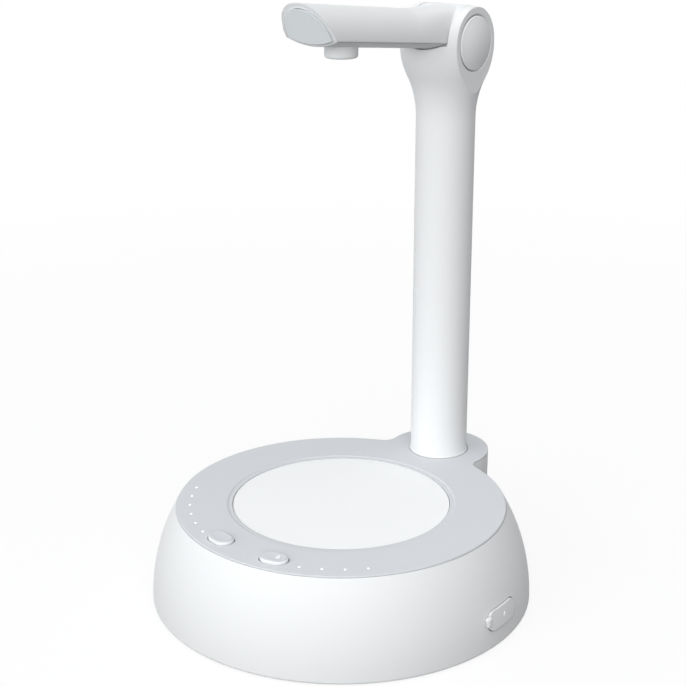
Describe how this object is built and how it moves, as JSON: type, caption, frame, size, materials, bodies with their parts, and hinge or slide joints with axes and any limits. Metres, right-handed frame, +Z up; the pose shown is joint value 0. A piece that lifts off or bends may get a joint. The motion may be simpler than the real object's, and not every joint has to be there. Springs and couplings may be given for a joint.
{
  "type": "water bottle pump",
  "caption": "Desktop drinking-water pump: domed round base with a cup mat and touch controls, and a slim column carrying a hinged spout arm over the mat.",
  "frame": {"origin": "middle of the whole footprint on the table plane, 11.2 mm behind the centre of the round base", "axes": "+Z up, -Y to the front where the buttons are, +X to the right where the charging port is"},
  "size_m": [0.1419, 0.164, 0.219],
  "materials": {
    "white_plastic": "satin white moulding",
    "grey_plastic": "fine matt light grey moulding",
    "end_insert": "smooth pale grey-blue moulding",
    "mat_silicone": "smooth white silicone",
    "flap_silicone": "smooth white silicone",
    "foot_rubber": "soft grey rubber",
    "light_guide": "milky clear acrylic",
    "inner_plastic": "plain natural moulding",
    "gear_plastic": "plain acetal",
    "board": "green circuit board",
    "led": "small surface lamp",
    "steel": "plain steel",
    "cell_wrap": "film-wrapped cell",
    "motor_metal": "drawn metal can",
    "tube_silicone": "clear soft tube"
  },
  "bodies": {
    "base": {"base_shell": "white_plastic", "bottom_cover": "inner_plastic", "foot_pads": "foot_rubber", "bottom_screws": "steel", "top_panel": "grey_plastic", "cup_mat": "mat_silicone", "switch_bodies": "inner_plastic", "amount_light_guides": "light_guide", "charge_light_guides": "light_guide", "indicator_leds": "led", "control_board": "board", "control_board_screws": "steel", "main_board": "board", "main_board_screws": "steel", "charging_socket": "steel", "battery_cell": "cell_wrap", "battery_cradle": "inner_plastic", "motor_can": "motor_metal", "motor_end_cap": "inner_plastic", "driven_pin": "steel", "pump_housing": "inner_plastic", "pump_cover": "inner_plastic", "pump_screws": "steel", "hose_inlet": "inner_plastic", "inlet_nut": "inner_plastic", "suction_tube": "tube_silicone", "delivery_tube": "tube_silicone", "tower_shell": "white_plastic", "tower_rear_cover": "white_plastic", "tower_nut": "inner_plastic", "hinge_bushes": "gear_plastic", "hinge_caps": "white_plastic", "swivel_ring": "inner_plastic"},
    "arm": {"arm_shell": "white_plastic", "arm_lower_cover": "white_plastic", "arm_end_cap": "end_insert", "nozzle": "white_plastic", "stream_straightener": "inner_plastic", "arm_tube": "tube_silicone", "hinge_axle": "steel", "hinge_screws": "steel"},
    "amount_button": {"amount_button": "grey_plastic"},
    "start_button": {"start_button": "grey_plastic"},
    "port_cover": {"port_cover": "flap_silicone"},
    "pump_drive": {"drive_shaft": "steel", "drive_gear": "gear_plastic"},
    "pump_driven": {"driven_gear": "gear_plastic"}
  },
  "joints": [
    {"name": "spout_fold", "type": "hinge", "parent": "base", "child": "arm", "pos_m": [0, 0.053, 0.1982], "axis": [-1, 0, 0], "range_deg": [0, 84]},
    {"name": "amount_press", "type": "slide", "parent": "base", "child": "amount_button", "axis": [0, 0, -1], "range_m": [0, 0.0006], "stiffness_N_per_m": 1000, "springref_m": -0.0004},
    {"name": "start_press", "type": "slide", "parent": "base", "child": "start_button", "axis": [0, 0, -1], "range_m": [0, 0.0006], "stiffness_N_per_m": 1000, "springref_m": -0.0004},
    {"name": "port_cover_open", "type": "hinge", "parent": "base", "child": "port_cover", "pos_m": [0.0692, -0.0004, 0.0107], "axis": [0, 0, 1], "range_deg": [0, 100]},
    {"name": "pump_drive_spin", "type": "hinge", "parent": "base", "child": "pump_drive", "pos_m": [-0.006, 0.0248, 0.0162], "axis": [0, 1, 0], "continuous": true},
    {"name": "pump_driven_spin", "type": "hinge", "parent": "base", "child": "pump_driven", "pos_m": [0.006, 0.0248, 0.0162], "axis": [0, 1, 0], "continuous": true}
  ],
  "couplings": [
    {"joint": "pump_driven_spin", "follows": "pump_drive_spin", "ratio": -1}
  ]
}
